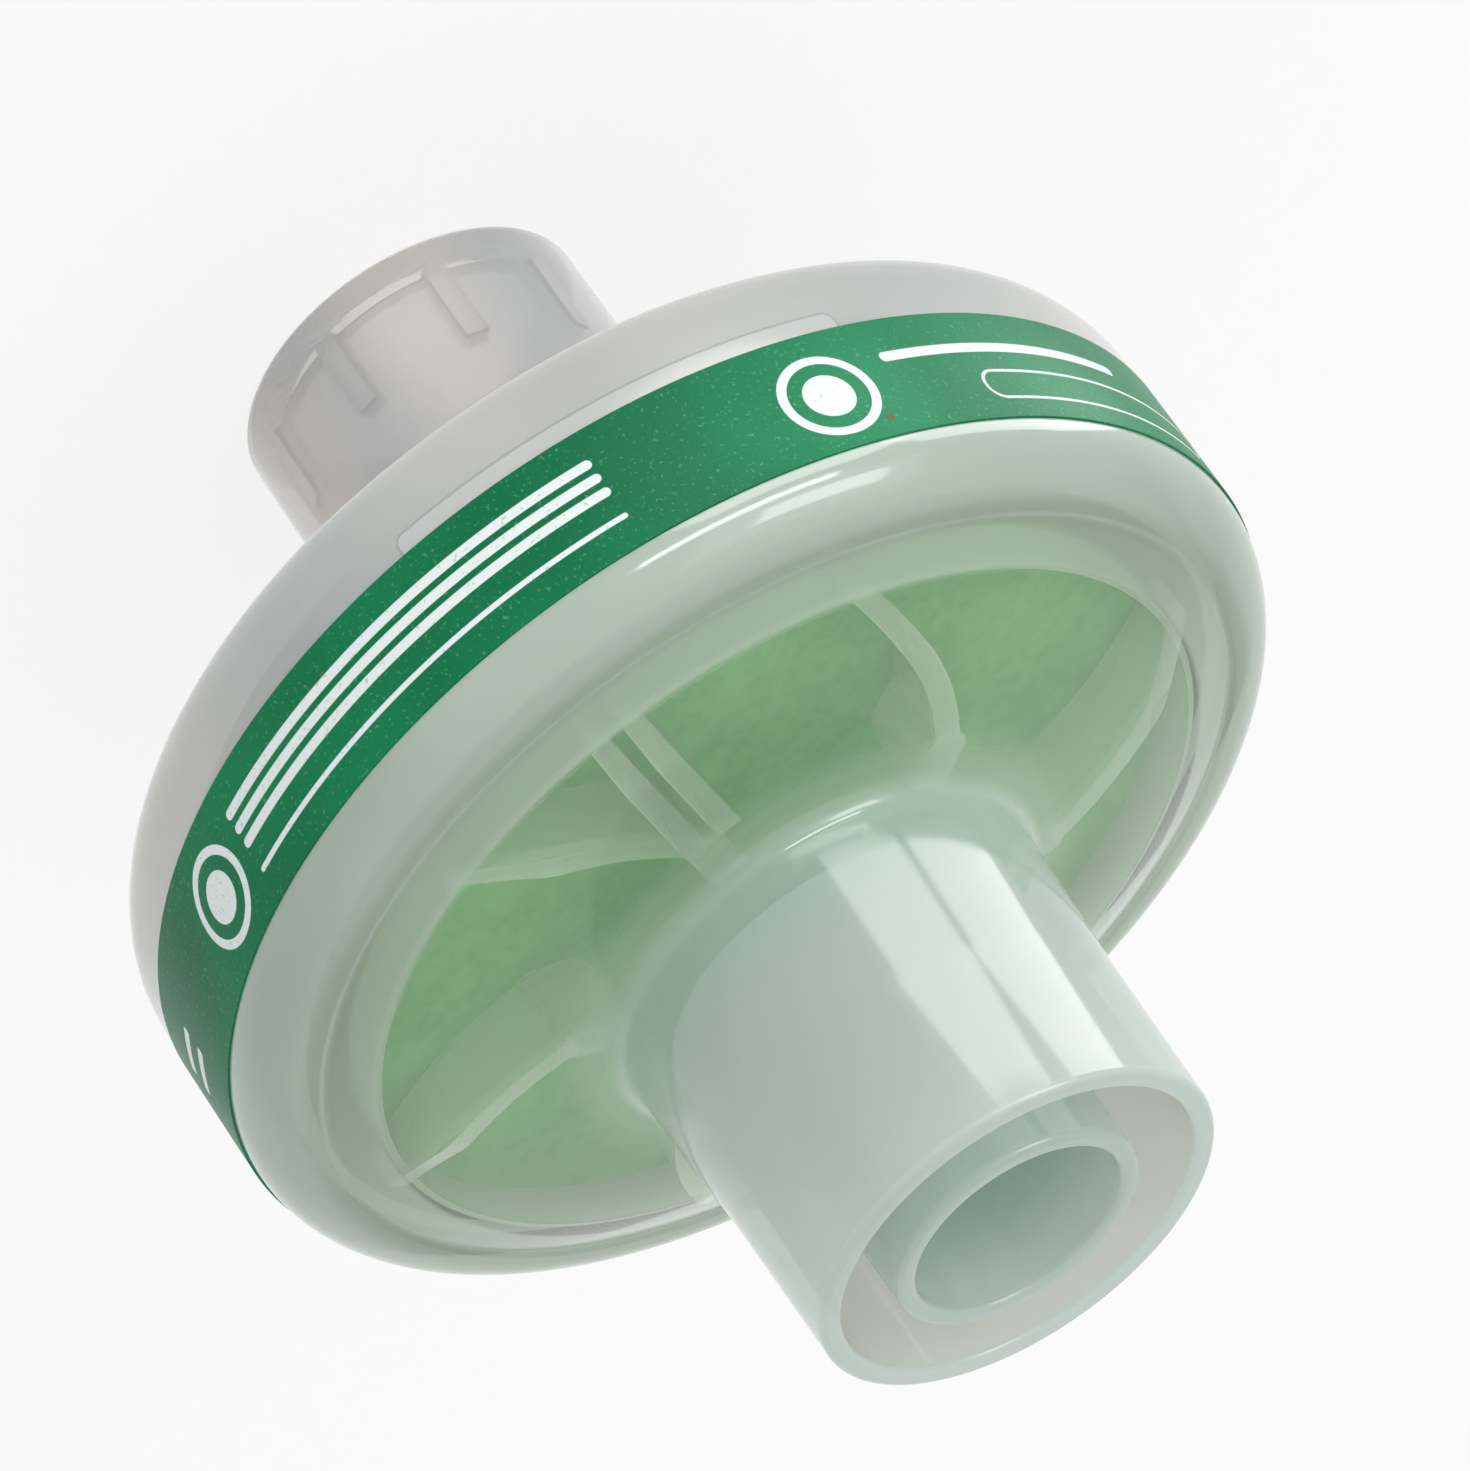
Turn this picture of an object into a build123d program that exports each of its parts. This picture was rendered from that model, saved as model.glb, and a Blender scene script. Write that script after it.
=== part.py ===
from build123d import *
from math import cos, radians, sin
import os

# Breathing circuit filter with a moisture pad, in millimetres.
# The machine port stands on z = 0 and the patient port looks up, both on the Z axis.

# Ports, as conical breathing connectors with a 1:40 taper on the diameter
conePerMm = 1 / 80
overallHeight = 69.4
machineMaleRadius = 10.95
machineSocketRadius = 7.75
patientSocketRadius = 11.15
patientMaleRadius = 7.68
patientMaleBore = 6.48

# Round housing, two moulded halves welded at the joint under the label
housingRadius = 33.05
jointHeight = 34.6
wall = 1.3
rimCornerRadius = 3.6
rimTop = 43.4
lipRadius = 0.4
weldGap = 0.05
tongueClearance = 0.1

# Machine side
portBaseHeight = 19.6
endRim = 1.6
pocketOuterRadius = 9.7
pocketInnerRadius = 8.85
socketDepth = 16.0
throatRadius = 6.6
backConeHeight = 20.9
backConeRadius = 13.2
backRimHeight = 24.9
backCornerRadius = 5.2
portBaseFillet = 0.8
backConeFillet = 2.0
filterSeat = 32.0
filterSeatRadius = 29.6
filterPocketRadius = 30.7
tongueRadius = 31.85
tongueTop = 37.0
portWebCount = 8
portWebLength = 5.2
portWebWidth = 1.4
portWebTurn = 20.0
portWebSink = 0.25
supportRibCount = 8
supportRibTurn = 22.5
supportRibWidth = 1.2
supportRibInner = 10.4
supportRibOuter = 26.5
supportRibRise = 5.6
supportRibToe = 27.5
supportRibTop = 31.9

# Patient side
foamPocketRadius = 29.9
domeOpeningRadius = 26.2
foamSeat = 41.0
domeEdgeRadius = 29.1
domeEdgeHeight = 43.25
domeMidRadius = 23.0
domeMidHeight = 46.6
domeTopHeight = 47.9
domeWall = 1.15
domeOpeningHeight = 44.0
domeBulge = 30.0
tubeBaseRadius = 13.15
tubeBaseFillet = 1.3
tubeMidRadius = 12.62
tubeMidHeight = 59.0
tubeEndRadius = 12.49
tubeWebTop = 49.6
tubeWebUnder = 48.1
innerTubeFoot = 46.6
innerTubeFootRadius = 8.0
webUnderRadius = 11.2
clampSkirtRadius = 30.65

# Curved ribs under the dome, turning as they run in and ending in a thick radial toe
ribCount = 6
ribStart = -177.7
ribTurn = 25.0
ribOuter = 27.0
ribBend = 15.2
ribToe = 12.2
ribWidth = 1.0
toeWidth = 1.9
ribUnderOuter = 41.1
ribUnderInner = 42.0
ribDraft = -2.5
ribToeCorner = 1.2
ribSketchDrop = 0.5
ribSink = 0.6

# One straight channel under the dome, two thin walls side by side
channelAngle = -85.0
channelOuter = 27.0
channelInner = 15.4
channelWidth = 3.2
channelWall = 1.0

# Media and label
foamRadius = 29.6
filterRadius = 30.4
filterTop = 35.0
labelBottom = 31.5
labelTop = 39.8
labelFilm = 0.14

os.makedirs("parts", exist_ok=True)


def polar(radius, degrees):
    return (radius * cos(radians(degrees)), radius * sin(radians(degrees)))


def coneRadius(endRadius, depth):
    return endRadius + depth * conePerMm


# Straight support ribs behind the filter, made once and set round the chamber
with BuildPart() as support_rib:
    with BuildSketch(Plane.XZ):
        with BuildLine():
            Polyline(
                (supportRibInner, supportRibToe),
                (supportRibInner + supportRibRise, supportRibTop),
                (supportRibOuter - supportRibRise / 2, supportRibTop),
                (supportRibOuter, backRimHeight + wall / 2),
                (backConeRadius, backConeHeight + wall / 2),
                (supportRibInner, backConeHeight + wall / 2),
                close=True,
            )
        make_face()
    extrude(amount=supportRibWidth / 2, both=True)

# Machine-side housing: the back half, with the taper that takes the machine's hose
with BuildPart() as machine_housing:
    with BuildSketch(Plane.XZ):
        with BuildLine():
            FilletPolyline(
                (machineSocketRadius, 0),
                (machineMaleRadius, 0),
                (coneRadius(machineMaleRadius, portBaseHeight), portBaseHeight),
                (backConeRadius, backConeHeight),
                (housingRadius, backRimHeight),
                (housingRadius, jointHeight),
                (tongueRadius, jointHeight),
                (tongueRadius, tongueTop),
                (filterPocketRadius, tongueTop),
                (filterPocketRadius, filterSeat),
                (filterSeatRadius, filterSeat),
                (filterSeatRadius, backRimHeight + wall),
                (pocketOuterRadius, backConeHeight + wall),
                (pocketOuterRadius, endRim),
                (pocketInnerRadius, endRim),
                (pocketInnerRadius, backConeHeight),
                (throatRadius, backConeHeight),
                (throatRadius, socketDepth),
                (coneRadius(machineSocketRadius, -socketDepth), socketDepth),
                radius=[0, lipRadius, portBaseFillet, backConeFillet, backCornerRadius] + [0] * 14,
                close=True,
            )
        make_face()
    revolve(axis=Axis.Z)

    # Short webs across the gap between the outer and inner cones
    with PolarLocations(0, portWebCount, start_angle=portWebTurn):
        with Locations(((pocketOuterRadius + pocketInnerRadius) / 2, 0, endRim - portWebSink)):
            Box(
                pocketOuterRadius - pocketInnerRadius + 2 * portWebSink,
                portWebWidth,
                portWebLength + portWebSink,
                align=(Align.CENTER, Align.CENTER, Align.MIN),
            )
    with PolarLocations(0, supportRibCount, start_angle=supportRibTurn):
        add(support_rib.part)
machine_housing.part.label = "machine_housing"
export_step(machine_housing.part, "parts/machine_housing.step")

# Space under the dome that the ribs may fill: a sloping underside, cut off at the toe,
# and a top that ends inside the dome's wall
with BuildPart() as rib_space:
    with BuildSketch(Plane.XZ):
        with BuildLine():
            Polyline(
                (ribOuter, ribUnderOuter),
                (ribToe + ribToeCorner, ribUnderInner),
                (ribToe, ribUnderInner + ribToeCorner),
                (ribToe, domeTopHeight - ribSink),
                (domeMidRadius, domeMidHeight - ribSink),
                (ribOuter, domeEdgeHeight + ribSink),
                close=True,
            )
        make_face()
    revolve(axis=Axis.Z)

# Curved ribs with their toes, cut to that space
with BuildPart() as curved_ribs:
    for k in range(ribCount):
        start = ribStart + k * 360 / ribCount
        with BuildLine() as ribLine:
            ThreePointArc(
                polar(ribOuter, start),
                polar((ribOuter + ribBend) / 2, start - ribTurn / 2),
                polar(ribBend, start - ribTurn),
            )
        with BuildSketch(Plane.XY.offset(ribUnderOuter - ribSketchDrop)):
            SlotArc(arc=ribLine.edges()[0], height=ribWidth)
            with Locations(Location(polar((ribToe + ribBend) / 2, start - ribTurn), start - ribTurn)):
                SlotOverall(ribBend - ribToe + toeWidth, toeWidth)
        extrude(amount=domeTopHeight - ribUnderOuter, taper=ribDraft)
    add(rib_space.part, mode=Mode.INTERSECT)

# Channel of two thin walls, cut to the same space
with BuildPart() as channel:
    with BuildSketch(Plane.XY.offset(ribUnderInner - ribSketchDrop)):
        with Locations(Location(polar((channelOuter + channelInner) / 2, channelAngle), channelAngle)):
            Rectangle(channelOuter - channelInner, channelWidth)
            Rectangle(channelOuter - channelInner, channelWidth - 2 * channelWall, mode=Mode.SUBTRACT)
    extrude(amount=domeTopHeight - ribUnderInner)
    add(rib_space.part, mode=Mode.INTERSECT)

# Patient-side housing: rim, dome, outer socket and inner tube in one moulding
with BuildPart() as patient_housing:
    with BuildSketch(Plane.XZ):
        with BuildLine():
            FilletPolyline(
                (housingRadius, jointHeight),
                (housingRadius, rimTop),
                (housingRadius - rimCornerRadius, rimTop),
                (domeEdgeRadius, domeEdgeHeight),
                (domeMidRadius, domeMidHeight),
                (tubeBaseRadius, domeTopHeight),
                (tubeMidRadius, tubeMidHeight),
                (tubeEndRadius, overallHeight),
                (patientSocketRadius, overallHeight),
                (coneRadius(patientSocketRadius, tubeWebTop - overallHeight), tubeWebTop),
                (coneRadius(patientMaleRadius, overallHeight - tubeWebTop), tubeWebTop),
                (patientMaleRadius, overallHeight),
                (patientMaleBore, overallHeight),
                (patientMaleBore, innerTubeFoot),
                (innerTubeFootRadius, innerTubeFoot),
                (innerTubeFootRadius, tubeWebUnder),
                (webUnderRadius, tubeWebUnder),
                (ribToe, domeTopHeight - domeWall),
                (domeMidRadius, domeMidHeight - domeWall),
                (domeOpeningRadius, domeOpeningHeight),
                (domeOpeningRadius, foamSeat),
                (foamPocketRadius, foamSeat),
                (foamPocketRadius, filterTop),
                (clampSkirtRadius, filterTop),
                (clampSkirtRadius, tongueTop + tongueClearance),
                (tongueRadius + weldGap, tongueTop + tongueClearance),
                (tongueRadius + weldGap, jointHeight),
                radius=[0, rimCornerRadius - weldGap, 0, 0, domeBulge, tubeBaseFillet, 0, lipRadius]
                + [0, 0, 0, lipRadius] + [0] * 15,
                close=True,
            )
        make_face()
    revolve(axis=Axis.Z)
    add(curved_ribs.part)
    add(channel.part)
patient_housing.part.label = "patient_housing"
export_step(patient_housing.part, "parts/patient_housing.step")

# Moisture pad: a foam disc under the dome
with BuildPart() as moisture_pad:
    with BuildSketch(Plane.XY.offset(filterTop)):
        Circle(foamRadius)
    extrude(amount=foamSeat - filterTop)
moisture_pad.part.label = "moisture_pad"
export_step(moisture_pad.part, "parts/moisture_pad.step")

# Filter disc: felt clamped between the two halves
with BuildPart() as filter_disc:
    with BuildSketch(Plane.XY.offset(filterSeat)):
        Circle(filterRadius)
    extrude(amount=filterTop - filterSeat)
filter_disc.part.label = "filter_disc"
export_step(filter_disc.part, "parts/filter_disc.step")

# Label: a thin film band round the housing, over the weld
with BuildPart() as label_band:
    with BuildSketch(Plane.XY.offset(labelBottom)):
        Circle(housingRadius + labelFilm)
        Circle(housingRadius, mode=Mode.SUBTRACT)
    extrude(amount=labelTop - labelBottom)
label_band.part.label = "label_band"
export_step(label_band.part, "parts/label_band.step")
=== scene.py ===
import math

import bpy
from mathutils import Matrix, Vector


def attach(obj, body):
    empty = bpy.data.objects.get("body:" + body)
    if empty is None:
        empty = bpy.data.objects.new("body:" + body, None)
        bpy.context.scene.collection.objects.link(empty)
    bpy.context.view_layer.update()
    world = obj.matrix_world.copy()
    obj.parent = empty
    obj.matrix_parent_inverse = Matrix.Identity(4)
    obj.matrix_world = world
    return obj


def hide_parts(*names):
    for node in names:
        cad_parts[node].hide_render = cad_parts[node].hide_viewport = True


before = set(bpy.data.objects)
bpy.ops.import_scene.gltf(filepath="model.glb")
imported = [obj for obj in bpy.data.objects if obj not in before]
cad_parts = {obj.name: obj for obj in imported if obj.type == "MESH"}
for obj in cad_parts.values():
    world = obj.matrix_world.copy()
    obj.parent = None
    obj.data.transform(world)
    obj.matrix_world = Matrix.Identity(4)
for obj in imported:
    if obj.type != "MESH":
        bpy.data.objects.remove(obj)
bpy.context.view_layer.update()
print("frame loaded:", sorted(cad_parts))

mm = 0.001
segments = 288  # around every turned piece
roundRadius = 33.19  # of the label, in millimetres
arcStep = math.radians(9)  # along every rounded corner
smoothAngle = math.radians(32)  # edges sharper than this stay sharp


# Outlines and meshes, in millimetres until makeObject

def roundedLine(corners):
    # corners of a closed section as (radius, height, fillet), with the fillets as arcs
    points = []
    for i, (r, z, fillet) in enumerate(corners):
        here = Vector((r, z))
        if not fillet:
            points.append(here)
            continue
        before = (Vector(corners[i - 1][:2]) - here).normalized()
        after = (Vector(corners[(i + 1) % len(corners)][:2]) - here).normalized()
        half = before.angle(after) / 2
        reach = fillet / math.tan(half)
        centre = here + (before + after).normalized() * (fillet / math.sin(half))
        first = here + before * reach - centre
        last = here + after * reach - centre
        turn = math.atan2(first.x * last.y - first.y * last.x, first.dot(last))
        steps = max(2, math.ceil(abs(turn) / arcStep))
        for k in range(steps + 1):
            points.append(centre + Matrix.Rotation(turn * k / steps, 2) @ first)
    return points


def turned(points, vertices, faces):
    # revolves a closed section about the Z axis
    start = len(vertices)
    count = len(points)
    for k in range(segments):
        angle = 2 * math.pi * k / segments
        for p in points:
            vertices.append((p.x * math.cos(angle), p.x * math.sin(angle), p.y))
    for k in range(segments):
        here = start + k * count
        there = start + (k + 1) % segments * count
        for i in range(count):
            j = (i + 1) % count
            faces.append((here + i, here + j, there + j, there + i))


def swept(stations, vertices, faces):
    # joins equal rings of points and closes both ends
    start = len(vertices)
    count = len(stations[0])
    for ring in stations:
        vertices.extend(ring)
    for k in range(len(stations) - 1):
        here = start + k * count
        for i in range(count):
            j = (i + 1) % count
            faces.append((here + i, here + j, here + count + j, here + count + i))
    last = start + (len(stations) - 1) * count
    faces.append(tuple(range(start + count - 1, start - 1, -1)))
    faces.append(tuple(range(last, last + count)))


def makeObject(name, vertices, faces, materials):
    mesh = bpy.data.meshes.new(name)
    mesh.from_pydata([(x * mm, y * mm, z * mm) for x, y, z in vertices], [], faces)
    mesh.validate()
    piece = bpy.data.objects.new(name, mesh)
    bpy.context.scene.collection.objects.link(piece)
    bpy.context.view_layer.objects.active = piece
    piece.select_set(True)
    bpy.ops.object.mode_set(mode="EDIT")
    bpy.ops.mesh.select_all(action="SELECT")
    bpy.ops.mesh.normals_make_consistent(inside=False)
    bpy.ops.object.mode_set(mode="OBJECT")
    bpy.ops.object.shade_smooth_by_angle(angle=smoothAngle)
    piece.select_set(False)
    for material in materials:
        mesh.materials.append(material)
    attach(piece, "root")
    return piece


def polar(radius, degrees):
    return Vector((radius * math.cos(math.radians(degrees)), radius * math.sin(math.radians(degrees))))


# Shader helpers

def newTree(name, inputs, outputs):
    # a node group whose sockets are given as {name: (kind, default)}
    tree = bpy.data.node_groups.new(name, "ShaderNodeTree")
    for label, (kind, value) in inputs.items():
        socket = tree.interface.new_socket(name=label, in_out="INPUT", socket_type=kind)
        if value is not None:
            socket.default_value = value
    for label, kind in outputs.items():
        tree.interface.new_socket(name=label, in_out="OUTPUT", socket_type=kind)
    return tree, tree.nodes.new("NodeGroupInput"), tree.nodes.new("NodeGroupOutput")


def put(tree, kind, settings=None, **inputs):
    # adds a node; inputs are sockets to link from or plain values, by the input's name or number
    node = tree.nodes.new(kind)
    for key, value in (settings or {}).items():
        setattr(node, key, value)
    for key, value in inputs.items():
        socket = node.inputs[int(key[1:])] if key[1:].isdigit() else node.inputs[key.replace("_", " ")]
        if isinstance(value, bpy.types.NodeSocket):
            tree.links.new(value, socket)
        else:
            socket.default_value = value
    return node


def maths(tree, operation, a, b=0.0, c=0.0, clamp=False):
    node = put(tree, "ShaderNodeMath", {"operation": operation, "use_clamp": clamp}, n0=a, n1=b, n2=c)
    return node.outputs[0]


def ramp(tree, value, low, high, toLow=0.0, toHigh=1.0):
    node = put(tree, "ShaderNodeMapRange", {"interpolation_type": "SMOOTHSTEP"}, Value=value,
               From_Min=low, From_Max=high, To_Min=toLow, To_Max=toHigh)
    return node.outputs["Result"]


def mixColor(tree, factor, a, b, blend="MIX"):
    node = put(tree, "ShaderNodeMix", {"data_type": "RGBA", "blend_type": blend}, n0=factor, n6=a, n7=b)
    return node.outputs[2]


def darken(tree, color, share):
    # the colour times a share that varies over the surface
    grey = put(tree, "ShaderNodeCombineColor", n0=share, n1=share, n2=share)
    return mixColor(tree, 1.0, color, grey.outputs[0], "MULTIPLY")


midNoise = (0.3, 0.7)  # where most of a noise's values lie


def noise(tree, position, size, detail, **more):
    return put(tree, "ShaderNodeTexNoise", Vector=position, Scale=size, Detail=detail, **more).outputs[0]


def bumped(tree, height, strength, distance):
    return put(tree, "ShaderNodeBump", Strength=strength, Distance=distance, Height=height).outputs[0]


def linear(red, green, blue):
    # a colour as seen on screen, 0 to 255, in the shader's linear values
    def channel(c):
        c = c / 255
        return c / 12.92 if c <= 0.04045 else ((c + 0.055) / 1.055) ** 2.4
    return (channel(red), channel(green), channel(blue), 1.0)


def newMaterial(name):
    material = bpy.data.materials.new(name)
    material.use_nodes = True
    tree = material.node_tree
    tree.nodes.clear()
    output = tree.nodes.new("ShaderNodeOutputMaterial")
    coordinates = tree.nodes.new("ShaderNodeTexCoord").outputs["Object"]
    return material, tree, output, coordinates


def group(tree, source, **inputs):
    return put(tree, "ShaderNodeGroup", {"node_tree": source}, **inputs).outputs


# Place on the part: radius and height in millimetres, and the angle round the axis

def placeGroup():
    number = "NodeSocketFloat"
    tree, inside, out = newTree("placeOnPart", {"Position": ("NodeSocketVector", None)},
                                {"Radius": number, "Height": number, "Angle": number})
    x, y, z = put(tree, "ShaderNodeSeparateXYZ", n0=inside.outputs["Position"]).outputs
    squared = maths(tree, "MULTIPLY_ADD", y, y, maths(tree, "MULTIPLY", x, x))
    tree.links.new(maths(tree, "MULTIPLY", maths(tree, "SQRT", squared), 1 / mm), out.inputs["Radius"])
    tree.links.new(maths(tree, "MULTIPLY", z, 1 / mm), out.inputs["Height"])
    tree.links.new(maths(tree, "ARCTAN2", y, x), out.inputs["Angle"])
    return tree


place = placeGroup()


# Moulded polypropylene: faint flow streaks and a fine orange-peel surface

def mouldedGroup():
    tree, inside, out = newTree(
        "mouldedSurface",
        {"Position": ("NodeSocketVector", None),
         "Streak Size": ("NodeSocketFloat", 45.0), "Peel Size": ("NodeSocketFloat", 420.0)},
        {"Streaks": "NodeSocketFloat", "Peel": "NodeSocketFloat"},
    )
    value = inside.outputs
    streaks = noise(tree, value["Position"], value["Streak Size"], 1.0)
    peel = noise(tree, value["Position"], value["Peel Size"], 0.0)
    tree.links.new(ramp(tree, streaks, *midNoise), out.inputs["Streaks"])
    tree.links.new(peel, out.inputs["Peel"])
    return tree


moulded = mouldedGroup()


# Shapes printed or pressed round the part, as rounded fields, in millimetres

softEdge = 0.03
solidField = 100.0  # a line so wide that it fills the field


def printGroup():
    # 1 inside a rounded field or on its line
    defaults = {"Angle": 0.0, "Height": 0.0, "Middle Angle": 0.0, "Middle Height": 0.0, "Half Length": 1.0,
                "Half Height": 1.0, "Corner": 0.2, "Line": solidField, "Radius": roundRadius}
    inputs = {name: ("NodeSocketFloat", value) for name, value in defaults.items()}
    tree, inside, out = newTree("printedField", inputs, {"Mask": "NodeSocketFloat"})
    value = inside.outputs
    turn = maths(tree, "SUBTRACT", value["Angle"], value["Middle Angle"])
    along = maths(tree, "MULTIPLY", turn, value["Radius"])
    across = maths(tree, "SUBTRACT", value["Height"], value["Middle Height"])
    straightLength = maths(tree, "SUBTRACT", value["Half Length"], value["Corner"])
    straightHeight = maths(tree, "SUBTRACT", value["Half Height"], value["Corner"])
    overLength = maths(tree, "SUBTRACT", maths(tree, "ABSOLUTE", along), straightLength)
    overHeight = maths(tree, "SUBTRACT", maths(tree, "ABSOLUTE", across), straightHeight)
    a = maths(tree, "MAXIMUM", overLength, 0.0)
    b = maths(tree, "MAXIMUM", overHeight, 0.0)
    outside = maths(tree, "SQRT", maths(tree, "MULTIPLY_ADD", a, a, maths(tree, "MULTIPLY", b, b)))
    within = maths(tree, "MINIMUM", maths(tree, "MAXIMUM", overLength, overHeight), 0.0)
    edge = maths(tree, "SUBTRACT", maths(tree, "ADD", outside, within), value["Corner"])
    half = maths(tree, "MULTIPLY", value["Line"], 0.5)
    edge = maths(tree, "SUBTRACT", maths(tree, "ABSOLUTE", maths(tree, "ADD", edge, half)), half)
    tree.links.new(ramp(tree, edge, softEdge, -softEdge), out.inputs["Mask"])
    return tree


printedField = printGroup()


def printMask(tree, where, shapes):
    total = 0.0
    for angle, height, length, tall, corner, line in shapes:
        mask = group(tree, printedField, Angle=where["Angle"], Height=where["Height"],
                     Middle_Angle=math.radians(angle), Middle_Height=height,
                     Half_Length=length / 2, Half_Height=tall / 2, Corner=corner,
                     Line=line or solidField, Radius=roundRadius)["Mask"]
        total = maths(tree, "MAXIMUM", mask, total)
    return total


# haze is how much one wall hides, 0 to 1
plastic = {
    "rim": {"haze": 0.8, "color": linear(204, 220, 206)},
    "ring": {"haze": 0.6, "color": linear(198, 220, 196)},
    "dome": {"haze": 0.14, "color": linear(204, 226, 200)},
    "foot": {"haze": 0.36, "color": linear(204, 226, 200)},
    "port": {"haze": 0.5, "color": linear(204, 221, 213)},
    "socket": {"haze": 0.55, "color": linear(228, 224, 214)},
    # painted shade: deep in the inner tube's bore the wall turns a darker teal
    "bore": {"haze": 0.5, "color": linear(146, 196, 188)},
    "lip": {"haze": 0.6, "color": linear(206, 222, 216)},
    "rib": {"haze": 0.3, "color": linear(212, 230, 208)},
    "back": {"haze": 0.72, "color": linear(226, 229, 224)},
    # painted light: the machine port is paler than the back of the same housing
    "backPort": {"haze": 0.5, "color": linear(242, 240, 237)},
    # painted shade: dark grey for faces deep in the machine port's gap and on the webs' sides
    "edge": {"haze": 0.95, "color": linear(112, 114, 116)},
    "inside": {"haze": 0.92, "color": linear(178, 202, 172)},
    "through": 0.4,  # share of the milky light that comes out on the far side of a wall
    "roughness": (0.36, 0.45),
    "skinIor": 1.4,
    "softGloss": 0.15,
    "glossRoughness": 0.1,
    "glossIor": 1.48,
    "streakSize": 45.0,
    "streakHaze": (0.94, 1.06),
    "streakShade": (0.96, 1.0),
    "peelSize": 420.0,
    "peelStrength": 0.2,
    "peelHeight": 0.00001,
    "edgeGain": 0.75,  # how far a wall closes up where it is seen edge on
    "edgePower": 2.5,  # and how late
}
# painted highlight on the back: a pale field along the label's lower edge, framed by the mould line; angle and
# height of the middle, length, height and corner
highlightAndMouldLine = {"place": (-103.6, 31.2, 28.3, 2.0, 0.7), "line": 0.16, "share": 0.5,
            "edge": linear(186, 194, 194), "pale": linear(244, 246, 246)}
# painted light: warm cream bands for a highlight and cool, darker bands for shade round the machine side, broken
# up by noise
paintedBands = {"cool": (0.80, 0.83, 0.86, 1), "warm": (1.0, 0.965, 0.945, 1), "bands": 5.0, "turn": -102.0,
         "bandShare": 0.35, "size": 70.0, "range": (0.1, 0.9)}


# painted light: warm bands as a cream highlight, cool darker bands as shade
def paintedBandColor(tree, position, where):
    drift = noise(tree, position, paintedBands["size"], 0.0)
    turn = maths(tree, "SUBTRACT", where["Angle"], math.radians(paintedBands["turn"]))
    wave = maths(tree, "COSINE", maths(tree, "MULTIPLY", turn, paintedBands["bands"]))
    warm = maths(tree, "ADD", maths(tree, "MULTIPLY", wave, paintedBands["bandShare"]), drift)
    return mixColor(tree, ramp(tree, warm, *paintedBands["range"]), paintedBands["cool"], paintedBands["warm"])


def addHighlightAndMouldLine(tree, color, where):
    # painted highlight: pale field along the label's lower edge; the darker line round it is the mould line
    field = printMask(tree, where, [(*highlightAndMouldLine["place"], 0)])
    color = mixColor(tree, maths(tree, "MULTIPLY", field, highlightAndMouldLine["share"]), color, highlightAndMouldLine["pale"])
    border = printMask(tree, where, [(*highlightAndMouldLine["place"], highlightAndMouldLine["line"])])
    return mixColor(tree, border, color, highlightAndMouldLine["edge"])


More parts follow.
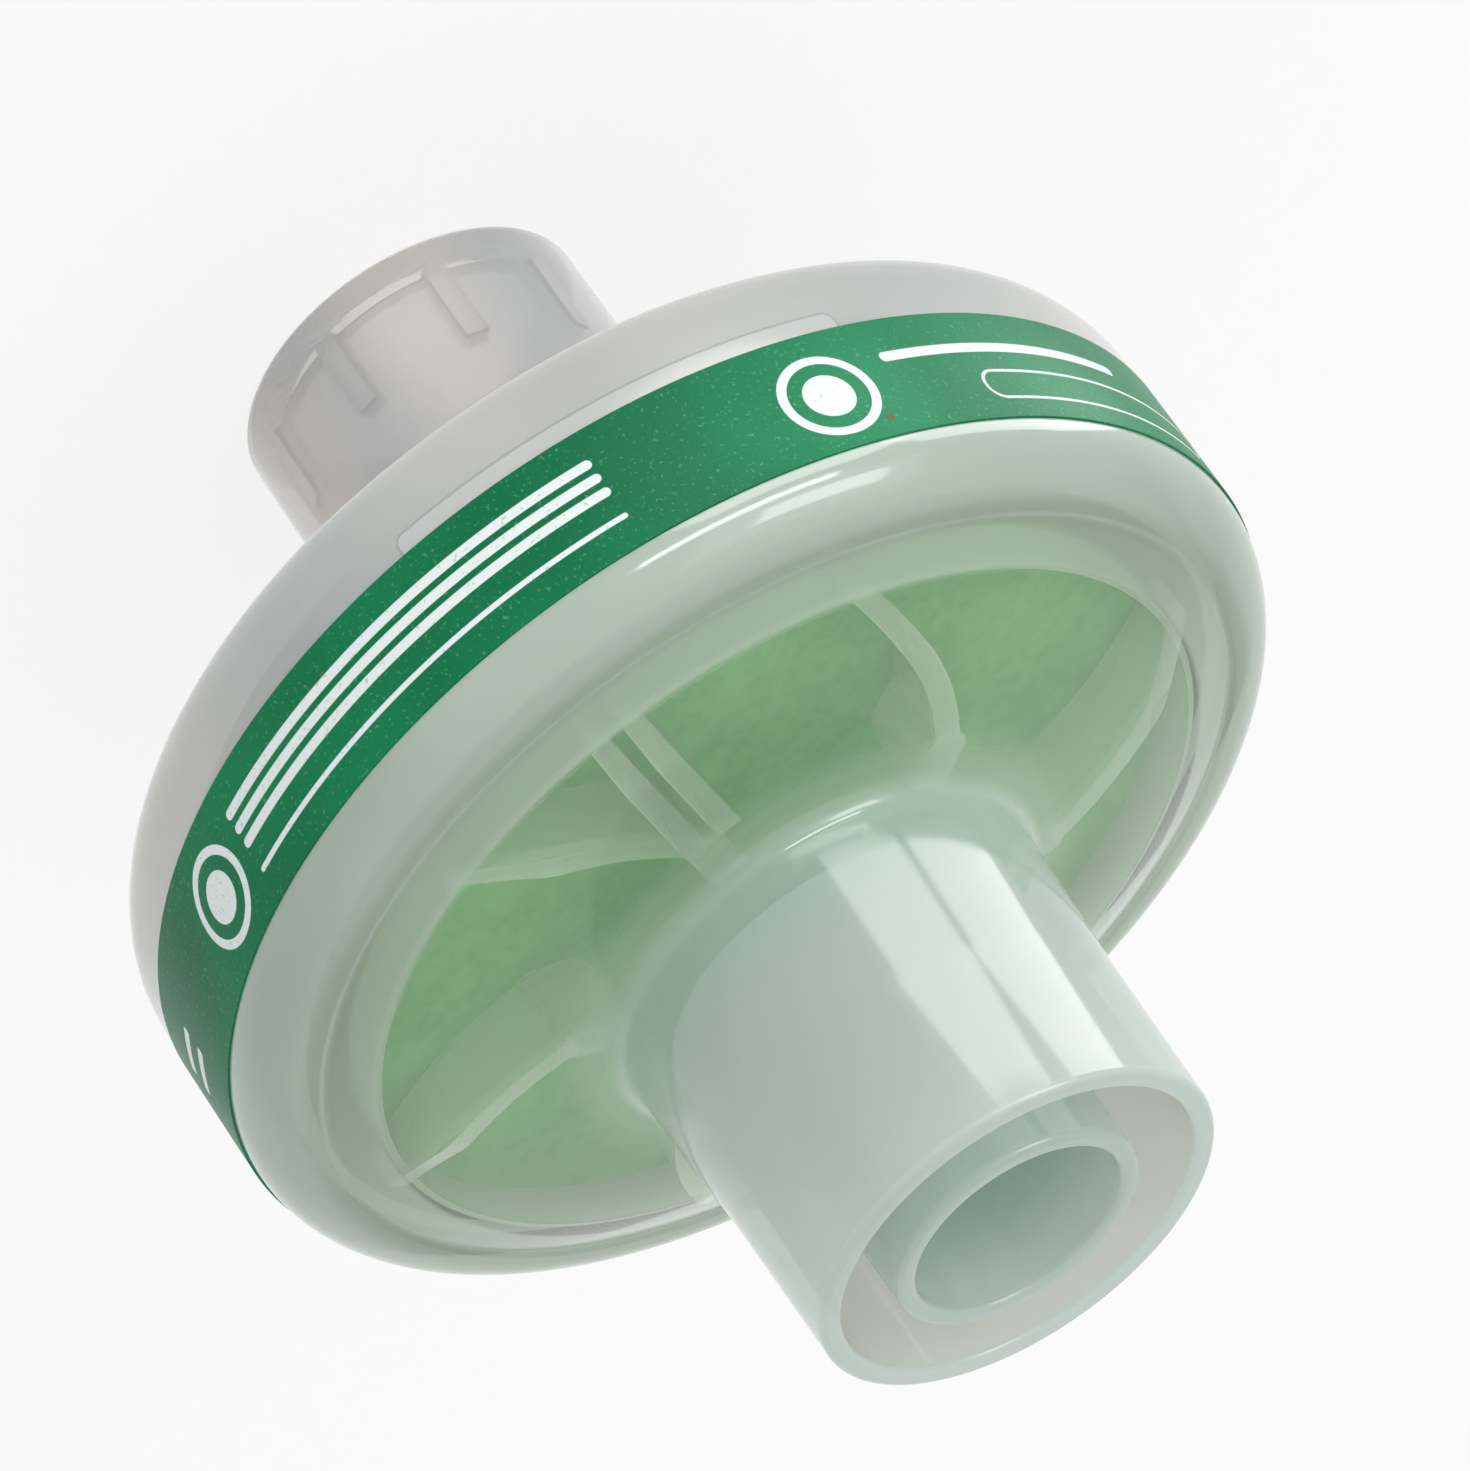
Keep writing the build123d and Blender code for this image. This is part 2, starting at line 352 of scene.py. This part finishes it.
def plasticMaterial(name, zone, steps=(), withPaintedLight=False):
    # a step is a zone and where it starts: the wall takes that zone's haze and colour from there on
    material, tree, output, position = newMaterial(name)
    where = group(tree, place, Position=position)
    surface = group(tree, moulded, Position=position,
                    Streak_Size=plastic["streakSize"], Peel_Size=plastic["peelSize"])
    streaks = surface["Streaks"]
    haze, color = plastic[zone]["haze"], plastic[zone]["color"]
    for other, *starts in steps:
        share = 1.0
        for axis, low, high in starts:
            share = maths(tree, "MULTIPLY", share, ramp(tree, where[axis], low, high))
        haze = put(tree, "ShaderNodeMix", {"data_type": "FLOAT"}, n0=share, n2=haze,
                   n3=plastic[other]["haze"]).outputs[0]
        color = mixColor(tree, share, color, plastic[other]["color"])
    haze = maths(tree, "MULTIPLY", haze, ramp(tree, streaks, 0, 1, *plastic["streakHaze"]))
    # a milky wall seen at a slant is thicker, so it hides more
    slant = put(tree, "ShaderNodeLayerWeight", Blend=0.5).outputs["Facing"]
    late = maths(tree, "POWER", slant, plastic["edgePower"])
    thicker = maths(tree, "MULTIPLY_ADD", late, plastic["edgeGain"], 1.0)
    walls = maths(tree, "MULTIPLY", thicker, thicker)
    clear = maths(tree, "POWER", maths(tree, "SUBTRACT", 1.0, haze, clamp=True), walls)
    alpha = maths(tree, "SUBTRACT", 1.0, clear)
    color = darken(tree, color, ramp(tree, streaks, 0, 1, *plastic["streakShade"]))
    if withPaintedLight:
        # painted highlight and shade as warm and cool bands
        color = mixColor(tree, 1.0, color, paintedBandColor(tree, position, where), "MULTIPLY")
        # painted highlight along the label's lower edge, with the mould line
        color = addHighlightAndMouldLine(tree, color, where)
    normal = bumped(tree, surface["Peel"], plastic["peelStrength"], plastic["peelHeight"])
    rough = ramp(tree, streaks, 0, 1, *plastic["roughness"])
    skin = put(tree, "ShaderNodeBsdfPrincipled", Base_Color=color, Roughness=rough, IOR=plastic["skinIor"],
               Normal=normal)
    skin.inputs["Specular IOR Level"].default_value = plastic["softGloss"]
    glow = put(tree, "ShaderNodeBsdfTranslucent", Color=color)
    milk = put(tree, "ShaderNodeMixShader", n0=plastic["through"], n1=skin.outputs[0], n2=glow.outputs[0])
    empty = tree.nodes.new("ShaderNodeBsdfTransparent")
    body = put(tree, "ShaderNodeMixShader", n0=alpha, n1=empty.outputs[0], n2=milk.outputs[0])
    gloss = put(tree, "ShaderNodeBsdfAnisotropic", Color=(1, 1, 1, 1), Roughness=plastic["glossRoughness"],
                Normal=normal)
    fresnel = put(tree, "ShaderNodeFresnel", IOR=plastic["glossIor"])
    facing = tree.nodes.new("ShaderNodeNewGeometry").outputs["Backfacing"]
    share = maths(tree, "MULTIPLY", fresnel.outputs[0], maths(tree, "SUBTRACT", 1.0, facing))
    mix = put(tree, "ShaderNodeMixShader", n0=share, n1=body.outputs[0], n2=gloss.outputs[0])
    tree.links.new(mix.outputs[0], output.inputs["Surface"])
    return material


clearPlastic = plasticMaterial("clearPlastic", "rim", [
    ("ring", ("Height", 43.15, 43.45)),
    ("dome", ("Radius", 26.7, 26.1)),
    ("foot", ("Radius", 17.0, 13.4)),
    ("port", ("Height", 47.2, 48.6)),
    ("socket", ("Radius", 11.9, 11.6), ("Radius", 8.2, 8.6), ("Height", 50.0, 54.0)),
    # painted shade: darker teal the deeper down the bore
    ("bore", ("Radius", 7.2, 6.8), ("Height", 67.5, 62.0)),
    ("lip", ("Height", 68.7, 69.2)),
])
ribPlastic = plasticMaterial("ribPlastic", "rib")
wallPlastic = plasticMaterial("wallPlastic", "inside")  # thick wall round the dome's opening
# the machine port's paler colour below the back is painted light
backPlastic = plasticMaterial("backPlastic", "backPort", [("back", ("Height", 18.5, 20.5))], withPaintedLight=True)
paintedShadePlastic = plasticMaterial("paintedShadePlastic", "edge")  # painted shade: dark grey on faces inside the wall that look dark edge on
print("plastics made")


# Foam, felt and printed film

foam = {"light": linear(118, 192, 114), "dark": linear(100, 172, 96), "patchSize": 160.0, "cellSize": 1500.0,
        "poreRange": (0.32, 0.6), "poreShade": 0.88, "bump": (0.15, 0.00008),
        "roughness": 0.95, "specularLevel": 0.1}


def foamMaterial():
    material, tree, output, position = newMaterial("greenFoam")
    patches = noise(tree, position, foam["patchSize"], 4.0, Roughness=0.6)
    cells = noise(tree, position, foam["cellSize"], 2.0)
    color = mixColor(tree, ramp(tree, patches, *midNoise), foam["dark"], foam["light"])
    color = darken(tree, color, ramp(tree, cells, *foam["poreRange"], foam["poreShade"], 1.0))
    normal = bumped(tree, cells, *foam["bump"])
    body = put(tree, "ShaderNodeBsdfPrincipled", Base_Color=color, Roughness=foam["roughness"], Normal=normal)
    body.inputs["Specular IOR Level"].default_value = foam["specularLevel"]
    tree.links.new(body.outputs[0], output.inputs["Surface"])
    return material


felt = {"light": linear(228, 228, 222), "dark": linear(205, 206, 198), "fibreSize": 900.0,
        "fibreRange": (0.35, 0.65), "stretch": (1.0, 0.25, 1.0), "distortion": 1.5,
        "bump": (0.5, 0.00008), "roughness": 0.95}


def feltMaterial():
    material, tree, output, position = newMaterial("whiteFelt")
    stretched = put(tree, "ShaderNodeMapping", Vector=position)
    stretched.inputs["Scale"].default_value = felt["stretch"]
    fibres = noise(tree, stretched.outputs[0], felt["fibreSize"], 5.0, Distortion=felt["distortion"])
    color = mixColor(tree, ramp(tree, fibres, *felt["fibreRange"]), felt["dark"], felt["light"])
    normal = bumped(tree, fibres, *felt["bump"])
    body = put(tree, "ShaderNodeBsdfPrincipled", Base_Color=color, Roughness=felt["roughness"], Normal=normal)
    tree.links.new(body.outputs[0], output.inputs["Surface"])
    return material


film = {
    "green": linear(12, 116, 74),
    "deep": linear(8, 98, 62),
    "inkAndGlints": linear(214, 221, 220),
    "speckle": linear(104, 170, 134),
    "speckleSize": 4200.0,
    "speckleRange": (0.6, 0.8),
    "speckleShare": 0.4,
    "pinHoleRange": (0.62, 0.74),
    "wornInk": 0.85,  # share of the ink that is left in its pin holes
    "driftSize": 70.0,
    "grime": linear(96, 78, 44),
    "grimeSpot": (-126.2, 38.5, 0.5, 0.42, 0.2, 0),  # given as the printed shapes are
    "bump": (0.35, 0.00003),
    "roughness": 0.36,
    "specularLevel": 0.1,
}
# printed shapes and two painted glints: angle and height of the middle, length, height, corner radius
# and line width, which is 0 for a filled shape
printsAndGlints = [
    (-41.0, 35.8, 5.8, 5.8, 2.9, 0.55), (-41.0, 35.8, 3.0, 3.0, 1.5, 0),
    (-73.3, 33.7, 29.4, 0.62, 0.3, 0), (-73.3, 34.75, 29.4, 0.62, 0.3, 0), (-73.3, 35.8, 29.4, 0.62, 0.3, 0),
    (-73.3, 37.7, 29.4, 0.35, 0.15, 0),
    (-122.0, 36.0, 5.8, 5.8, 2.9, 0.55), (-122.0, 36.0, 3.0, 3.0, 1.5, 0),
    (-145.5, 34.3, 18.6, 0.7, 0.3, 0),
    (-156.5, 37.2, 20.5, 2.3, 1.1, 0.2),
    # painted highlight: these two short bars stand for glints on the film, in the ink colour
    (-15.5, 34.8, 4.4, 0.6, 0.2, 0), (-15.5, 36.4, 4.4, 0.6, 0.2, 0),
]


def filmMaterial():
    material, tree, output, position = newMaterial("greenFilm")
    where = group(tree, place, Position=position)
    drift = noise(tree, position, film["driftSize"], 3.0)
    color = mixColor(tree, ramp(tree, drift, *midNoise), film["deep"], film["green"])
    dots = noise(tree, position, film["speckleSize"], 1.0)
    # mask of the print and of the two painted glints
    inkAndGlints = printMask(tree, where, printsAndGlints)
    wear = ramp(tree, dots, *film["pinHoleRange"], 1.0, film["wornInk"])
    color = mixColor(tree, maths(tree, "MULTIPLY", inkAndGlints, wear), color, film["inkAndGlints"])
    speckle = ramp(tree, dots, *film["speckleRange"], 0.0, film["speckleShare"])
    color = mixColor(tree, speckle, color, film["speckle"])
    color = mixColor(tree, printMask(tree, where, [film["grimeSpot"]]), color, film["grime"])
    normal = bumped(tree, dots, *film["bump"])
    body = put(tree, "ShaderNodeBsdfPrincipled", Base_Color=color, Roughness=film["roughness"], Normal=normal)
    body.inputs["Specular IOR Level"].default_value = film["specularLevel"]
    tree.links.new(body.outputs[0], output.inputs["Surface"])
    return material


greenFoam = foamMaterial()
whiteFelt = feltMaterial()
greenFilm = filmMaterial()
print("foam, felt and film made")


# Patient-side housing: rim, dome, socket and inner tube, with the ribs under the dome

taper = 1 / 80  # conical connector, change of radius along its length
patient = {
    "top": 69.4, "joint": 34.6, "radius": 33.05, "rimTop": 43.4, "rimCorner": 3.55, "lip": 0.42,
    "domeEdge": (29.1, 43.25), "domeMid": (23.0, 46.6), "domeTop": 47.9, "wall": 1.15,
    "openingRadius": 26.2, "openingHeight": 44.0, "padSeat": 41.0, "padPocket": 29.9, "skirt": 30.65,
    "tongue": 31.9, "tongueTop": 37.1, "filterTop": 35.0,
    "tubeBase": 13.15, "tubeMid": (12.62, 59.0), "tubeEnd": 12.49, "socket": 11.15,
    "webTop": 49.6, "webUnder": 48.1, "webUnderRadius": 11.2,
    "male": 7.68, "bore": 6.48, "foot": 46.6, "footRadius": 8.0,
    # radii that round the section's corners
    "domeEdgeFillet": 0.25, "domeBulge": 30.0, "underBulge": 24.0, "openingFillet": 0.5,
    "tubeBaseFillet": 1.3, "tubeBulge": 20.0, "socketFillet": 0.5, "footFillet": 0.3,
    # faces that take the wall's finish, as reach from the opening's radius and rise above its top
    "wallReach": (-0.7, 0.15), "wallRise": 0.25,
}
rib = {"count": 6, "start": -177.7, "turn": 25.0, "outer": 27.0, "bend": 15.2, "toe": 12.2, "width": 1.0,
       "draft": 0.05, "toeWidth": 1.9, "underOuter": 41.1, "underInner": 42.0, "toeCorner": 1.3, "sink": 0.55,
       "soft": 0.3, "thinnest": 0.05, "steps": 22, "toeBackSteps": 8, "toeSteps": 12}
underside = [(0.4, 0.0), (0.8, 0.3), (1.0, 1.0)]  # of a rib: share of its half width, share of its rounding
channel = {"angle": -85.0, "outer": 27.0, "inner": 15.4, "width": 3.2, "wall": 1.0, "steps": 10}


def patientSection(p):
    depth = p["top"] - p["webTop"]
    return roundedLine([
        (p["radius"], p["joint"], 0), (p["radius"], p["rimTop"], p["rimCorner"]),
        (p["radius"] - p["rimCorner"], p["rimTop"], 0),
        (*p["domeEdge"], p["domeEdgeFillet"]), (*p["domeMid"], p["domeBulge"]),
        (p["tubeBase"], p["domeTop"], p["tubeBaseFillet"]), (*p["tubeMid"], p["tubeBulge"]),
        (p["tubeEnd"], p["top"], p["lip"]), (p["socket"], p["top"], p["lip"]),
        (p["socket"] - depth * taper, p["webTop"], p["socketFillet"]),
        (p["male"] + depth * taper, p["webTop"], p["socketFillet"]), (p["male"], p["top"], p["lip"]),
        (p["bore"], p["top"], p["lip"]), (p["bore"], p["foot"], p["footFillet"]),
        (p["footRadius"], p["foot"], p["footFillet"]), (p["footRadius"], p["webUnder"], p["footFillet"]),
        (p["webUnderRadius"], p["webUnder"], 0), (rib["toe"], p["domeTop"] - p["wall"], 0),
        (p["domeMid"][0], p["domeMid"][1] - p["wall"], p["underBulge"]),
        (p["openingRadius"], p["openingHeight"], p["openingFillet"]), (p["openingRadius"], p["padSeat"], 0),
        (p["padPocket"], p["padSeat"], 0), (p["padPocket"], p["filterTop"], 0),
        (p["skirt"], p["filterTop"], 0), (p["skirt"], p["tongueTop"], 0), (p["tongue"], p["tongueTop"], 0),
        (p["tongue"], p["joint"], 0),
    ])


def ribTop(radius):
    # top of a rib at a radius, inside the dome's wall
    r0, z0 = patient["domeEdge"]
    r1, z1 = patient["domeMid"]
    r2, z2 = patient["tubeBase"], patient["domeTop"]
    if radius > r1:
        height = z1 + (z0 - z1) * (radius - r1) / (r0 - r1)
    else:
        height = z2 + (z1 - z2) * (radius - r2) / (r1 - r2)
    return height - rib["sink"]


def ribUnder(radius):
    share = (rib["outer"] - radius) / (rib["outer"] - rib["toe"])
    height = rib["underOuter"] + (rib["underInner"] - rib["underOuter"]) * share
    inside = rib["toeCorner"] - (radius - rib["toe"])
    if inside > 0:
        height += rib["toeCorner"] - math.sqrt(max(rib["toeCorner"] ** 2 - inside ** 2, 0))
    return height


def ribRing(at, side, half):
    # one cross section: rounded underside, slightly wider at the top
    radius = at.length
    low = ribUnder(radius)
    high = ribTop(radius)
    wide = half + (high - low) * rib["draft"]
    soft = min(rib["soft"], half / 2)
    outline = [(wide, high)] + [(half * across, low + soft * up) for across, up in reversed(underside)]
    outline = [(-s, z) for s, z in outline] + outline[::-1]
    return [(at.x + side.x * s, at.y + side.y * s, z) for s, z in outline]


def curvedRib(start, vertices, faces):
    a = polar(rib["outer"], start)
    b = polar((rib["outer"] + rib["bend"]) / 2, start - rib["turn"] / 2)
    c = polar(rib["bend"], start - rib["turn"])
    bend = b * 2 - (a + c) / 2  # control point of the curve that passes through the middle point
    line = []
    for k in range(rib["steps"] + 1):
        t = k / rib["steps"]
        line.append(a * (1 - t) ** 2 + bend * 2 * t * (1 - t) + c * t ** 2)
    stations = []
    for k, at in enumerate(line):
        along = (line[min(k + 1, len(line) - 1)] - line[max(k - 1, 0)]).normalized()
        stations.append(ribRing(at, Vector((-along.y, along.x)), rib["width"] / 2))
    swept(stations, vertices, faces)
    inward = -c.normalized()
    side = Vector((-inward.y, inward.x))
    half = rib["toeWidth"] / 2
    reach = rib["bend"] - rib["toe"]
    stations = []
    for k in range(rib["toeBackSteps"] + 1):  # rounded back end of the toe
        angle = math.pi / 2 * k / rib["toeBackSteps"]
        across = max(half * math.sin(angle), rib["thinnest"])
        stations.append(ribRing(c - inward * half * math.cos(angle), side, across))
    for k in range(1, rib["toeSteps"] + 1):
        stations.append(ribRing(c + inward * reach * k / rib["toeSteps"], side, half))
    swept(stations, vertices, faces)


def channelWall(offset, vertices, faces):
    out = polar(1.0, channel["angle"])
    side = Vector((-out.y, out.x))
    stations = []
    for k in range(channel["steps"] + 1):
        radius = channel["outer"] + (channel["inner"] - channel["outer"]) * k / channel["steps"]
        at = out * radius + side * offset
        stations.append(ribRing(at, side, channel["wall"] / 2))
    swept(stations, vertices, faces)


def buildPatientHousing():
    vertices, faces = [], []
    turned(patientSection(patient), vertices, faces)
    piece = makeObject("patient_shell", vertices, faces, [clearPlastic, wallPlastic])
    near, far = patient["wallReach"]
    for face in piece.data.polygons:  # the thick wall round the dome's opening
        radius = math.hypot(face.center.x, face.center.y)
        top = patient["openingHeight"] + patient["wallRise"]
        inOpening = patient["padSeat"] * mm < face.center.z < top * mm
        if inOpening and near * mm < radius - patient["openingRadius"] * mm < far * mm:
            face.material_index = 1
    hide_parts("patient_housing")
    vertices, faces = [], []
    for k in range(rib["count"]):
        curvedRib(rib["start"] + k * 360 / rib["count"], vertices, faces)
    for sign in (-1, 1):
        channelWall(sign * (channel["width"] - channel["wall"]) / 2, vertices, faces)
    ribs = makeObject("dome_ribs", vertices, faces, [ribPlastic])


buildPatientHousing()
print("patient housing built")


# Machine-side housing: port, back and chamber

machine = {
    "endRadius": 10.95, "socket": 7.75, "baseHeight": 19.6, "base": (13.2, 20.9), "rim": (33.05, 24.9),
    "joint": 34.6, "tongue": 31.85, "tongueTop": 37.0, "pocket": 30.7, "seat": 32.0, "seatRadius": 29.6,
    "wall": 1.3, "wellOuter": 9.7, "wellInner": 8.85, "endThick": 1.6, "socketDepth": 16.0, "throat": 6.6,
    # radii that round the section's corners
    "lip": 0.35, "endFillet": 0.4, "portFillet": 0.8, "baseFillet": 2.0, "corner": 5.2, "chamberFillet": 4.0,
    "wellFillet": 0.4, "wellEndFillet": 0.2, "throatFillet": 0.3, "stepFillet": 0.2,
    # faces within this height above the end wall take the painted shade
    "endRise": 0.3,
}
# short webs between the port's two cones, with painted shade up to this rise above them
web = {"count": 8, "turn": 20.0, "length": 5.2, "width": 1.4, "sink": 0.25, "rise": 0.1}
# ribs behind the filter
support = {"count": 8, "turn": 22.5, "width": 1.2, "inner": 10.4, "outer": 26.5, "toe": 27.5, "rise": 5.6,
           "top": 31.9}


def machineSection(m):
    return roundedLine([
        (m["socket"], 0, m["lip"]), (m["endRadius"], 0, m["endFillet"]),
        (m["endRadius"] + m["baseHeight"] * taper, m["baseHeight"], m["portFillet"]),
        (*m["base"], m["baseFillet"]), (*m["rim"], m["corner"]),
        (m["rim"][0], m["joint"], 0), (m["tongue"], m["joint"], 0), (m["tongue"], m["tongueTop"], 0),
        (m["pocket"], m["tongueTop"], 0), (m["pocket"], m["seat"], 0), (m["seatRadius"], m["seat"], 0),
        (m["seatRadius"], m["rim"][1] + m["wall"], m["chamberFillet"]),
        (m["wellOuter"], m["base"][1] + m["wall"], m["wellFillet"]),
        (m["wellOuter"], m["endThick"], m["wellEndFillet"]), (m["wellInner"], m["endThick"], m["wellEndFillet"]),
        (m["wellInner"], m["base"][1], m["throatFillet"]), (m["throat"], m["base"][1], m["throatFillet"]),
        (m["throat"], m["socketDepth"], m["stepFillet"]),
        (m["socket"] - m["socketDepth"] * taper, m["socketDepth"], m["throatFillet"]),
    ])


def supportOutline(p):
    # side view of one rib behind the filter, standing on the cone of the back
    low = machine["base"][1] + machine["wall"] / 2
    high = machine["rim"][1] + machine["wall"] / 2
    return [(p["inner"], low), (p["inner"], p["toe"]), (p["inner"] + p["rise"], p["top"]),
            (p["outer"] - p["rise"] / 2, p["top"]), (p["outer"], high), (machine["base"][0], low)]


def box(low, high, angle, vertices, faces):
    # a block with its length along the radius, turned about the Z axis
    start = len(vertices)
    turn = Matrix.Rotation(math.radians(angle), 3, "Z")
    for z in (low[2], high[2]):
        for x, y in ((low[0], low[1]), (high[0], low[1]), (high[0], high[1]), (low[0], high[1])):
            vertices.append(tuple(turn @ Vector((x, y, z))))
    for quad in ((3, 2, 1, 0), (4, 5, 6, 7), (0, 1, 5, 4), (1, 2, 6, 5), (2, 3, 7, 6), (3, 0, 4, 7)):
        faces.append(tuple(start + i for i in quad))


def buildMachineHousing():
    vertices, faces = [], []
    turned(machineSection(machine), vertices, faces)
    piece = makeObject("machine_shell", vertices, faces, [backPlastic, paintedShadePlastic])
    for face in piece.data.polygons:  # painted shade at the end of the gap between the two cones
        radius = math.hypot(face.center.x, face.center.y)
        inGap = machine["wellInner"] * mm < radius < machine["wellOuter"] * mm
        if inGap and face.center.z < (machine["endThick"] + machine["endRise"]) * mm:
            face.material_index = 1
    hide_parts("machine_housing")
    vertices, faces = [], []
    for k in range(web["count"]):
        box((machine["wellInner"] - web["sink"], -web["width"] / 2, machine["endThick"] - web["sink"]),
            (machine["wellOuter"] + web["sink"], web["width"] / 2, machine["endThick"] + web["length"]),
            web["turn"] + 360 * k / web["count"], vertices, faces)
    shape = supportOutline(support)
    half = support["width"] / 2
    for k in range(support["count"]):
        turn = Matrix.Rotation(math.radians(support["turn"] + 360 * k / support["count"]), 3, "Z")
        swept([[turn @ Vector((r, side, z)) for r, z in shape] for side in (-half, half)], vertices, faces)
    webs = makeObject("machine_ribs", vertices, faces, [backPlastic, paintedShadePlastic])
    for face in webs.data.polygons:  # painted shade on the sides and ends of the webs, not the faces against the cones
        outward = Vector((face.center.x, face.center.y, 0)).normalized()
        low = face.center.z < (machine["endThick"] + web["length"] + web["rise"]) * mm
        if low and abs(face.normal.dot(outward)) < 0.5:
            face.material_index = 1


buildMachineHousing()
print("machine housing built")


# Moisture pad, filter disc and label

pad = {"radius": 29.6, "bottom": 35.0, "top": 41.0, "edge": 0.7, "hole": 0.02}  # the section can't start at 0
label = {"inner": 33.05, "film": 0.14, "bottom": 31.5, "top": 39.8, "edge": 0.05}


def buildPad():
    vertices, faces = [], []
    section = roundedLine([(pad["hole"], pad["bottom"], 0), (pad["radius"], pad["bottom"], pad["edge"]),
                           (pad["radius"], pad["top"], pad["edge"]), (pad["hole"], pad["top"], 0)])
    turned(section, vertices, faces)
    piece = makeObject("foam_pad", vertices, faces, [greenFoam])
    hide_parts("moisture_pad")


def buildLabel():
    vertices, faces = [], []
    outer = label["inner"] + label["film"]
    section = roundedLine([(label["inner"], label["bottom"], 0), (outer, label["bottom"], label["edge"]),
                           (outer, label["top"], label["edge"]), (label["inner"], label["top"], 0)])
    turned(section, vertices, faces)
    piece = makeObject("label_film", vertices, faces, [greenFilm])
    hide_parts("label_band")


buildPad()
buildLabel()
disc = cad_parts["filter_disc"]
disc.data.materials.clear()
disc.data.materials.append(whiteFelt)
print("pad, label and filter built")


# Floor, camera and light

view = {
    "place": (-0.002871, -0.503760, 0.335546),
    "right": (-0.81706, 0.29674, 0.49432),
    "up": (-0.57655, -0.42053, -0.70053),
    "back": (0.0, -0.85738, 0.51469),
    "lens": 255.30,
    "sensor": 36,
    "clip": (0.01, 50),
}
backdrop = {
    "floorHalf": 3.0,
    "grainSize": 400.0,
    "floorColors": (linear(238, 238, 238), linear(243, 243, 243)),
    "floorGlow": 0.8,  # share of plain white in the floor as it is seen; the rest keeps the shadow
    "roomLight": 0.88,  # on the object; the background itself is seen as white
}


def buildCamera():
    data = bpy.data.cameras.new("camera")
    data.lens = view["lens"]
    data.sensor_width = view["sensor"]
    data.clip_start, data.clip_end = view["clip"]
    camera = bpy.data.objects.new("camera", data)
    bpy.context.scene.collection.objects.link(camera)
    turn = Matrix((view["right"], view["up"], view["back"])).transposed().to_4x4()
    camera.matrix_world = Matrix.Translation(view["place"]) @ turn
    bpy.context.scene.camera = camera


def seenRay(tree):
    # 1 for rays that show the background, straight or in gloss and clear pieces
    path = tree.nodes.new("ShaderNodeLightPath").outputs
    mirrored = maths(tree, "MAXIMUM", path["Is Glossy Ray"], path["Is Transmission Ray"])
    return maths(tree, "MAXIMUM", path["Is Camera Ray"], mirrored)


def buildFloor():
    half = backdrop["floorHalf"]
    mesh = bpy.data.meshes.new("floor")
    corners = [(-half, -half, 0), (half, -half, 0), (half, half, 0), (-half, half, 0)]
    mesh.from_pydata(corners, [], [(0, 1, 2, 3)])
    floor = bpy.data.objects.new("floor", mesh)
    bpy.context.scene.collection.objects.link(floor)
    material, tree, output, position = newMaterial("floorWhite")
    color = mixColor(tree, noise(tree, position, backdrop["grainSize"], 2.0), *backdrop["floorColors"])
    matte = put(tree, "ShaderNodeBsdfDiffuse", Color=color)
    glow = put(tree, "ShaderNodeEmission", Color=(1, 1, 1, 1), Strength=1.0)
    seen = maths(tree, "MULTIPLY", seenRay(tree), backdrop["floorGlow"])
    mix = put(tree, "ShaderNodeMixShader", n0=seen, n1=matte.outputs[0], n2=glow.outputs[0])
    # clear from below, so that the underside can be looked at
    under = tree.nodes.new("ShaderNodeNewGeometry").outputs["Backfacing"]
    empty = tree.nodes.new("ShaderNodeBsdfTransparent")
    mix = put(tree, "ShaderNodeMixShader", n0=under, n1=mix.outputs[0], n2=empty.outputs[0])
    tree.links.new(mix.outputs[0], output.inputs["Surface"])
    mesh.materials.append(material)


def buildLamp(name, place, target, size, strength):
    data = bpy.data.lights.new(name, "AREA")
    data.shape = "RECTANGLE"
    data.size, data.size_y = size
    data.energy = strength
    lamp = bpy.data.objects.new(name, data)
    bpy.context.scene.collection.objects.link(lamp)
    lamp.location = place
    lamp.rotation_mode = "QUATERNION"
    lamp.rotation_quaternion = (Vector(target) - Vector(place)).to_track_quat("-Z", "Y")
    return lamp


def buildWorld():
    world = bpy.data.worlds.new("room")
    bpy.context.scene.world = world
    world.use_nodes = True
    tree = world.node_tree
    background = tree.nodes["Background"].inputs
    background["Color"].default_value = (1, 1, 1, 1)
    tree.links.new(ramp(tree, seenRay(tree), 0, 1, backdrop["roomLight"], 1.0), background["Strength"])


buildCamera()
buildFloor()
buildWorld()

# place, target, width and height in metres, strength in watts
lamps = {
    "windowLamp": ((-0.75, -0.7, 0.45), (0, 0, 0.04), (0.9, 0.8), 2.2),
    "lowLamp": ((-0.22, -0.36, 0.03), (0, 0, 0.012), (0.3, 0.05), 0.6),
    "sideBox": ((-0.56, -0.48, 0.30), (0, 0, 0.04), (0.34, 0.24), 1.5),
}
# low panels that face up, set round the part
panels = {"turns": (189, 230), "reach": 0.118, "height": 0.002, "size": (0.094, 0.083), "strength": 0.12}


def buildPanels():
    found = []
    for number, turn in enumerate(panels["turns"]):
        spot = polar(panels["reach"], turn)
        lamp = buildLamp("stripePanel%d" % number, (spot.x, spot.y, panels["height"]), (spot.x, spot.y, 1),
                         panels["size"], panels["strength"])
        flat = Matrix.Rotation(math.radians(turn), 3, "Z") @ Matrix.Rotation(math.pi, 3, "X")
        lamp.rotation_quaternion = flat.to_quaternion()
        found.append(lamp)
    return found


built = {name: buildLamp(name, *values) for name, values in lamps.items()}
for lamp in (built["sideBox"], *buildPanels()):
    lamp.visible_diffuse = False  # seen only as the bright stripes and patches on the gloss
bpy.context.scene.view_settings.view_transform = "Standard"
print("camera, floor and lamps built")
